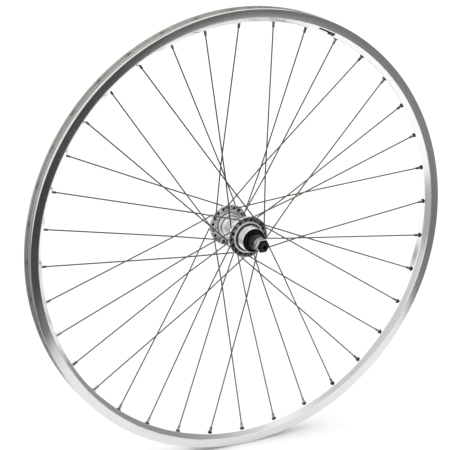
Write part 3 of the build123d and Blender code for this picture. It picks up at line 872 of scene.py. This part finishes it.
def make_hub_shell():
    drive_face = FLANGE_Y[DRIVE] - FLANGE_THICKNESS / 2
    left_face = FLANGE_Y[LEFT] + FLANGE_THICKNESS / 2
    shoulder_y = drive_face - 1.8
    relief_r = THREAD_R - 0.7
    thread_from, thread_to = shoulder_y - 1.3, END_Y[DRIVE] + 0.6
    drive_end = [
        (SHOULDER_R, drive_face, 0.2),
        (SHOULDER_R, shoulder_y, 0.9),
        (SHOULDER_INNER_R, shoulder_y, 0.7),
        (SHOULDER_INNER_R - 0.6, drive_face - 0.2, 0.3),
        (relief_r, drive_face - 0.2, 0.3),
        (relief_r, shoulder_y - 0.6, 0.1),
        *thread_run(thread_from, thread_to, THREAD_R, THREAD_PITCH),
        (THREAD_R - 0.5, END_Y[DRIVE], 0.2),
    ]
    left_end = [
        (LEFT_END_R + 2.4, left_face, 1.0),
        (LEFT_END_R + 0.6, left_face + 1.6, 1.5),
        (LEFT_END_R, left_face + 3.4, 1.5),
        (LEFT_END_R, END_Y[LEFT] - 0.3, 0.4),
        (LEFT_END_R - 0.4, END_Y[LEFT], 0.4),
    ]
    # radius, distance inboard of the flange's middle, fillet
    neck = [
        (NECK_TOP_R, 2.9, 0.4),
        (19.2, 2.9, 0.4),
        (18.6, 2.2, 0.1),
        (17.9, 2.2, 0.2),
        (18.0, 4.6, 0.5),
        (17.0, 6.4, 0.3),
        (15.2, 6.8, 0.3),
        (14.6, 8.4, 0.3),
        (13.4, 8.8, 0.4),
        (BARREL_R, 10.4, 0.8),
    ]
    barrel = [(r, FLANGE_Y[LEFT] - off, fillet) for r, off, fillet in neck]
    barrel += [(r, FLANGE_Y[DRIVE] + off, fillet) for r, off, fillet in reversed(neck)]
    bore = []
    for side in (LEFT, DRIVE):
        end = END_Y[side]
        steps = [
            (CAP_SEAT_R, end, 0.2),
            (CAP_SEAT_R, end - side * CAP_SEAT_DEPTH, 0.0),
            (CUP_SEAT_R, end - side * CAP_SEAT_DEPTH, 0.0),
            (CUP_SEAT_R, end - side * CUP_SEAT_DEPTH, 0.0),
            (BARREL_BORE_R, end - side * CUP_SEAT_DEPTH, 0.0),
        ]
        bore += steps if side == LEFT else reversed(steps)
    outline = (
        list(reversed(drive_end))
        + list(reversed(flange_corners(FLANGE_Y[DRIVE], 1)))
        + list(reversed(barrel))
        + flange_corners(FLANGE_Y[LEFT], -1)
        + left_end
        + bore
    )

    def cut_thread(r, y, a):
        return threaded(r, y, a, thread_to, thread_from, THREAD_PITCH, THREAD_DEPTH, THREAD_R), y

    shell = make_object("hub_body", *skin(turned(rounded(outline), 288, cut_thread)))
    reach, edge = 2 * FLANGE_THICKNESS, FLANGE_THICKNESS / 2
    mouth_r = SPOKE_HOLE_R + COUNTERSINK
    profile = [
        (-reach, mouth_r),
        (-edge - 0.05, mouth_r),
        (-edge + 0.6, SPOKE_HOLE_R),
        (edge - 0.6, SPOKE_HOLE_R),
        (edge + 0.05, mouth_r),
        (reach, mouth_r),
    ]
    drills = []
    for side in (DRIVE, LEFT):
        for outside in (True, False):
            spoke = Spoke(side, outside)
            path = np.array([(spoke.hole_x, FLANGE_Y[side] + y, spoke.hole_z) for y, _ in profile])
            rings = tube_rings(path, [r for _, r in profile], 32)
            for angle in spoke_angles(side, outside):
                drills.append(skin(about_axle(rings, angle), closed=False))
    carve(shell, make_object("drills", *joined(drills)))
    finish_piece(shell, "wheel", "hub_alloy", "hub_shell")
    shell.data.materials.append(HOLE_SHADE)
    # the walls of the spoke holes take the painted shade
    largest_wall_face = 4 * MM * MM
    for polygon in shell.data.polygons:
        off_circle = abs(polygon.center.xz.length / MM - SPOKE_CIRCLE_R)
        off_flange = min(abs(polygon.center.y / MM - y) for y in FLANGE_Y.values())
        near_hole = off_circle < mouth_r and off_flange < edge + 0.1
        on_wall = abs(polygon.normal.y) < 0.9 and polygon.area < largest_wall_face
        polygon.material_index = int(near_hole and on_wall)


def ball_plane(side):
    return END_Y[side] - side * BALL_PLANE_DEPTH


def make_turned_piece(name, corners, body, slot, node, segments=192, shape=None, steps=4):
    rings = turned(rounded(corners, steps), segments, shape)
    return finish_piece(make_object(name, *skin(rings)), body, slot, node)


def make_dust_cap(side):
    """A dished cap with a skirt pressed into the end of the hub."""
    skirt_r, hole_r = CAP_SEAT_R - 0.02, 10.6
    end = BALL_PLANE_DEPTH + 0.02
    out = end + CAP_RIM_THICKNESS
    dish = out - 1.5
    skirt = BALL_PLANE_DEPTH - 3.3
    # radius, distance out from the balls' plane, fillet
    corners = [
        (hole_r, dish + 0.2, 0.2),
        (hole_r + 0.9, dish + 0.2, 0.3),
        (hole_r + 1.3, dish - 0.1, 0.3),
        (skirt_r - 2.8, dish - 0.1, 0.5),
        (skirt_r - 1.4, out, 0.5),
        (CAP_RIM_R, out, 0.3),
        (CAP_RIM_R, end, 0.0),
        (skirt_r, end, 0.0),
        (skirt_r, skirt, 0.1),
        (skirt_r - 1.0, skirt, 0.1),
        (skirt_r - 1.0, dish - 1.0, 0.1),
        (hole_r, dish - 1.0, 0.1),
    ]
    placed = [(r, ball_plane(side) + side * y, fillet) for r, y, fillet in corners]
    name = SIDE_NAME[side] + "_dust_cap"
    make_turned_piece(name + "_ring", placed, "wheel", "cap", name)


def make_cone(side):
    """The cone, with its groove for the balls and two wrench flats."""
    plane = ball_plane(side)
    groove = []
    for degrees in np.linspace(-125, -10.5, 16):
        a = math.radians(degrees)
        groove.append((BALL_CIRCLE_R + RACE_R * math.sin(a), RACE_R * math.cos(a), 0.0))
    # radius, distance out from the balls' plane, fillet
    corners = [
        (ON_AXLE_R, -3.4, 0.0),
        (6.5, -3.4, 0.2),
        (6.9, -3.0, 0.2),
        *groove,
        (9.0, 4.2, 0.3),
        (CONE_OUTER_R, 5.0, 0.3),
        (CONE_OUTER_R, CONE_OUT, 0.3),
        (ON_AXLE_R, CONE_OUT, 0.0),
    ]
    placed = [(r, plane + side * out, fillet) for r, out, fillet in corners]

    def cut_flats(r, y, a):
        limit = CONE_FLATS / 2 / np.maximum(np.abs(np.cos(a)), 0.2)
        return np.where(side * (y - plane) > CONE_OUT - 2.2, np.minimum(r, limit), r), y

    name = SIDE_NAME[side] + "_cone"
    # the cone's near-black tone is painted shade inside the hub's end
    make_turned_piece(name + "_race", placed, "axle", "dark_steel", name, shape=cut_flats)


def make_locknut(side):
    """A hexagon nut with turned corners and a ring of serrations on its outer face."""
    outer, inner = side * LOCKNUT_FACE_Y, side * (LOCKNUT_FACE_Y - LOCKNUT_THICKNESS)
    corner_r = LOCKNUT_FLATS / math.sqrt(3)
    corners = [
        (ON_AXLE_R, outer - side * 0.5, 0.0),
        (ON_AXLE_R + 0.5, outer - side * 0.05, 0.15),
        (5.9, outer - side * 0.02, 0.0),
        (6.0, outer, 0.0),
        (7.6, outer, 0.0),
        (7.7, outer - side * 0.02, 0.0),
        (corner_r - 0.8, outer - side * 0.05, 0.2),
        (corner_r, outer - side * 0.7, 0.2),
        (corner_r, inner + side * 0.9, 0.3),
        (LOCKNUT_FLATS / 2 - 0.3, inner, 0.3),
        (ON_AXLE_R, inner, 0.0),
    ]

    def cut_hexagon(r, y, a):
        from_flat = np.mod(a + math.pi / 6, math.pi / 3) - math.pi / 6
        blunting = 0.12 * np.clip(np.abs(from_flat) - 0.45, 0, 1) / 0.07
        r = np.minimum(r, LOCKNUT_FLATS / 2 / np.cos(from_flat) - blunting)
        tooth = np.abs(np.mod(a * 36 / (2 * math.pi), 1.0) - 0.5) * 2
        on_ring = (r > 5.95) & (r < 7.65) & (np.abs(y - outer) < 0.01)
        return r, np.where(on_ring, y - side * 0.35 * tooth, y)

    name = SIDE_NAME[side] + "_locknut"
    nut = make_turned_piece(name + "_hex", corners, "axle", "black_steel", name, 288, cut_hexagon)
    nut.data.materials.append(NUT_FLAT_METAL)
    for polygon in nut.data.polygons:
        on_flat = abs(polygon.normal.y) < 0.2 and polygon.center.xz.length > 7 * MM
        polygon.material_index = int(on_flat)


def make_ring(name, node, outer_r, y_from, y_to, edge):
    """A washer or spacer on the axle."""
    low, high = min(y_from, y_to), max(y_from, y_to)
    corners = [
        (ON_AXLE_R, low, 0.0),
        (outer_r, low, edge),
        (outer_r, high, edge),
        (ON_AXLE_R, high, 0.0),
    ]
    make_turned_piece(name, corners, "axle", "spacer_steel", node)


def make_drive_collar():
    """The dark tapered collar between the drive-side cone and spacer."""
    corners = [
        (ON_AXLE_R, ball_plane(DRIVE) - CONE_OUT, 0.0),
        (COLLAR_R, ball_plane(DRIVE) - CONE_OUT, 0.4),
        (COLLAR_R, COLLAR_TAPER_Y, 0.6),
        (COLLAR_END_R, COLLAR_END_Y, 0.3),
        (ON_AXLE_R, COLLAR_END_Y, 0.0),
    ]
    # the collar's near-black tone is painted shade inside the hub's end
    make_turned_piece("drive_collar_ring", corners, "axle", "dark_steel", "drive_collar")


def make_axle():
    """The hollow axle, with its thread showing on both stubs."""
    run = thread_run(LOCKNUT_FACE_Y + 0.2, AXLE_HALF_LENGTH - 0.5, AXLE_END_R, AXLE_PITCH)
    half = [
        (AXLE_R, LOCKNUT_FACE_Y - 0.5, 0.0),
        (AXLE_END_R, LOCKNUT_FACE_Y, 0.0),
        *run,
        (AXLE_END_R - 0.6, AXLE_HALF_LENGTH, 0.15),
        (AXLE_BORE_R + 0.35, AXLE_HALF_LENGTH, 0.1),
        (AXLE_BORE_R, AXLE_HALF_LENGTH - 0.35, 0.1),
    ]
    corners = mirrored(half)
    past_end = AXLE_HALF_LENGTH + 1.0

    def cut_thread(r, y, a):
        for low, high in ((LOCKNUT_FACE_Y, past_end), (-past_end, -LOCKNUT_FACE_Y)):
            r = threaded(r, y, a, low, high, AXLE_PITCH, 0.5, AXLE_END_R)
        return r, y

    make_turned_piece("axle_tube", corners, "axle", "black_steel", "axle", 96, cut_thread)


# --- stickers --------------------------------------------------------------------------------------


FACET_MIDDLE_R = 301.0


def facet_patch(share_from, share_to, angle_from, angle_to):
    """A thin film on the drive-side facet, with rounded corners.

    The shares run from the facet's low edge to its high edge, and the angles, in degrees, round the wheel.
    """
    low, high = np.array([FACET_LOW_R, -FACET_LOW_Y]), np.array([FACET_HIGH_R, -FACET_HIGH_Y])
    run = high - low
    normal = unit(np.array([run[1], -run[0]]))
    shares = (share_from + share_to) / 2, (share_to - share_from) / 2
    angles = (angle_from + angle_to) / 2, (angle_to - angle_from) / 2
    width = shares[1] * np.linalg.norm(run)
    length = math.radians(angles[1]) * FACET_MIDDLE_R
    corner = min(0.3, width * 0.5, length * 0.5)
    outline = rounded([(length * i, width * j, corner) for i, j in SQUARE], hold=5.0)
    rings = []
    for lift in (0.03, 0.12):
        ring = []
        for along, across in outline:
            r, y = low + run * (shares[0] + shares[1] * across / width) + normal * lift
            a = math.radians(angles[0]) + along / FACET_MIDDLE_R
            ring.append((r * math.sin(a), y, r * math.cos(a)))
        rings.append(ring)
    return skin(np.array(rings), closed=False)


def make_stickers():
    """A bar, two small blocks nearer the hub and a pink dot."""
    bars = [
        facet_patch(0.5, 0.85, 22.4, 27.6),
        facet_patch(0.12, 0.47, 25.5, 26.5),
        facet_patch(0.12, 0.47, 26.65, 27.6),
    ]
    finish_piece(make_object("rim_labels", *joined(bars)), "wheel", "label", "rim_stickers")
    dot = make_object("rim_dot", *facet_patch(0.35, 0.65, 11.4, 12.0))
    finish_piece(dot, "wheel", "label", "rim_stickers")
    dot.data.materials[0] = make_coated("dot_pink", DOT_PINK, 0.45)


# --- the pieces ------------------------------------------------------------------------------------

make_rim()
make_eyelets()
make_nipples()
make_stickers()
make_hub_shell()
make_axle()
for side in (DRIVE, LEFT):
    make_spokes(side, True)
    make_spokes(side, False)
    make_dust_cap(side)
    make_cone(side)
    make_locknut(side)
    name = SIDE_NAME[side]
    nut_inner = side * (LOCKNUT_FACE_Y - LOCKNUT_THICKNESS)
    washer_inner = nut_inner - side * WASHER_THICKNESS
    spacer_start = COLLAR_END_Y if side == DRIVE else ball_plane(side) + side * CONE_OUT
    make_ring(name + "_washer", name + "_lock_washer", WASHER_R, nut_inner, washer_inner, 0.25)
    make_ring(name + "_sleeve", name + "_spacer", SPACER_R, spacer_start, washer_inner, 0.35)
make_drive_collar()

slot_of = {part["node"]: part["material_slot"] for part in frame["record"]["subparts"]}
for node, shown in frame["nodes"].items():
    if shown.hide_render:
        continue
    shown.data.materials.clear()
    shown.data.materials.append(MATERIALS[slot_of[node]])

# --- floor, cards and light ------------------------------------------------------------------------

FLOOR_Z = -RIM_OUTER_R * MM
FLOOR_REACH = 14.0
CARD_LIFT = 0.0005
WALL_DISTANCE = 4.0
DAYLIGHT = 1.28


def make_floor():
    vertices = [(FLOOR_REACH * i, FLOOR_REACH * j, FLOOR_Z) for i, j in SQUARE]
    floor = link_mesh("floor", vertices, [(0, 1, 2, 3)])
    m = Shader("floor", Metallic=0.0, Roughness=0.9, Specular_IOR_Level=0.1)
    tone = m.noise(0.6, detail=2.0)
    m.set("Base Color", m.mix(m.ramp(tone, 0.3, 0.7, 0.0, 1.0), grey(0.9), grey(0.92)))
    floor.data.materials.append(m.material)


def glossy_only(card):
    """A card that only shows in reflections."""
    card.visible_camera = False
    card.visible_diffuse = False
    card.visible_transmission = False
    card.visible_volume_scatter = False
    card.visible_shadow = False


def emissive(name, build):
    """An emission material whose strength comes from build(shader, azimuth, height)."""
    m = Shader(name)
    parts = m.node("ShaderNodeSeparateXYZ", {"Vector": m.object_point})
    forward = m.math("MULTIPLY", parts.outputs["Y"], -1.0)
    azimuth = m.math("ARCTAN2", parts.outputs["X"], forward)
    glow = m.node("ShaderNodeEmission", {"Strength": build(m, azimuth, parts.outputs["Z"])})
    output = m.tree.nodes["Material Output"]
    m.tree.links.new(glow.outputs[0], output.inputs["Surface"])
    m.tree.nodes.remove(m.principled)
    return m.material


def make_card(name, vertices, faces, strength):
    card = link_mesh(name, vertices, faces)
    card.data.materials.append(emissive(name, strength))
    glossy_only(card)


def make_floor_card(name, corners, strength):
    """A patch of the room's floor, just above the pale floor."""
    vertices = [(x, y, FLOOR_Z + CARD_LIFT) for x, y in corners]
    make_card(name, vertices, [range(len(corners))], strength)


def make_wall_card(name, azimuth_from, azimuth_to, top, strength):
    """A curved wall round the wheel, from the floor up to a height."""
    steps, rows = 32, 4
    vertices = []
    for row in range(rows):
        height = FLOOR_Z + (top - FLOOR_Z) * row / (rows - 1)
        for i in range(steps + 1):
            a = math.radians(azimuth_from + (azimuth_to - azimuth_from) * i / steps)
            vertices.append((WALL_DISTANCE * math.sin(a), -WALL_DISTANCE * math.cos(a), height))
    width = steps + 1
    faces = [
        (j * width + i, j * width + i + 1, (j + 1) * width + i + 1, (j + 1) * width + i)
        for j in range(rows - 1)
        for i in range(steps)
    ]
    make_card(name, vertices, faces, strength)


def room_floor_strength(m, azimuth, height):
    """Dark in the middle, lighter to both sides and a little darker again at the far right."""
    right = m.ramp(azimuth, math.radians(23), math.radians(42), 0.06, 0.33)
    far_right = m.ramp(azimuth, math.radians(42), math.radians(49), 0.0, 0.12)
    left = m.ramp(azimuth, math.radians(-24), math.radians(-10), 0.4, 0.0)
    return m.math("SUBTRACT", m.math("ADD", right, left), far_right)


def left_floor_strength(m, azimuth, height):
    """Grey, a little lighter towards the front."""
    return m.ramp(azimuth, math.radians(-152), math.radians(-138), 0.28, 0.42)


def front_wall_strength(m, azimuth, height):
    """Grey in front, darker towards the right and paler near the ceiling."""
    low = m.ramp(azimuth, math.radians(10), math.radians(52), 0.68, 0.31)
    high = m.ramp(height, 2.5, 4.4, 0.0, 1.0)
    lift = m.math("MULTIPLY", high, m.math("SUBTRACT", 0.62, low))
    return m.math("ADD", low, lift)


def left_wall_strength(m, azimuth, height):
    """Grey at the left, soon fading into the pale wall."""
    return m.ramp(height, -0.1, 0.25, 0.38, 1.2)


def make_light():
    """The pale sweep round the wheel, as an even white world."""
    world = bpy.data.worlds.new("studio")
    world.use_nodes = True
    background = world.node_tree.nodes["Background"]
    background.inputs["Color"].default_value = (1.0, 1.0, 1.0, 1.0)
    background.inputs["Strength"].default_value = DAYLIGHT
    bpy.context.scene.world = world
    bpy.context.scene.view_settings.view_transform = "Standard"


# (x, y) in metres: first the edge of the pale sweep, then the corners far from the wheel
ROOM_FLOOR_CORNERS = [
    (-3.0, -0.762),
    (0.2, -0.431),
    (0.44, -0.355),
    (3.0, -0.14),
    (3.0, -WALL_DISTANCE),
    (-3.0, -WALL_DISTANCE),
]
LEFT_FLOOR_CORNERS = [
    (-0.36, -0.51),
    (-0.36, 0.6),
    (-2.57, WALL_DISTANCE),
    (-WALL_DISTANCE, WALL_DISTANCE),
    (-WALL_DISTANCE, -0.51),
]

make_floor()
make_floor_card("room_floor_card", ROOM_FLOOR_CORNERS, room_floor_strength)
make_floor_card("left_floor_card", LEFT_FLOOR_CORNERS, left_floor_strength)
make_wall_card("front_wall_card", -62, 102, 4.5, front_wall_strength)
make_wall_card("left_wall_card", -155, -105, 0.27, left_wall_strength)
make_light()
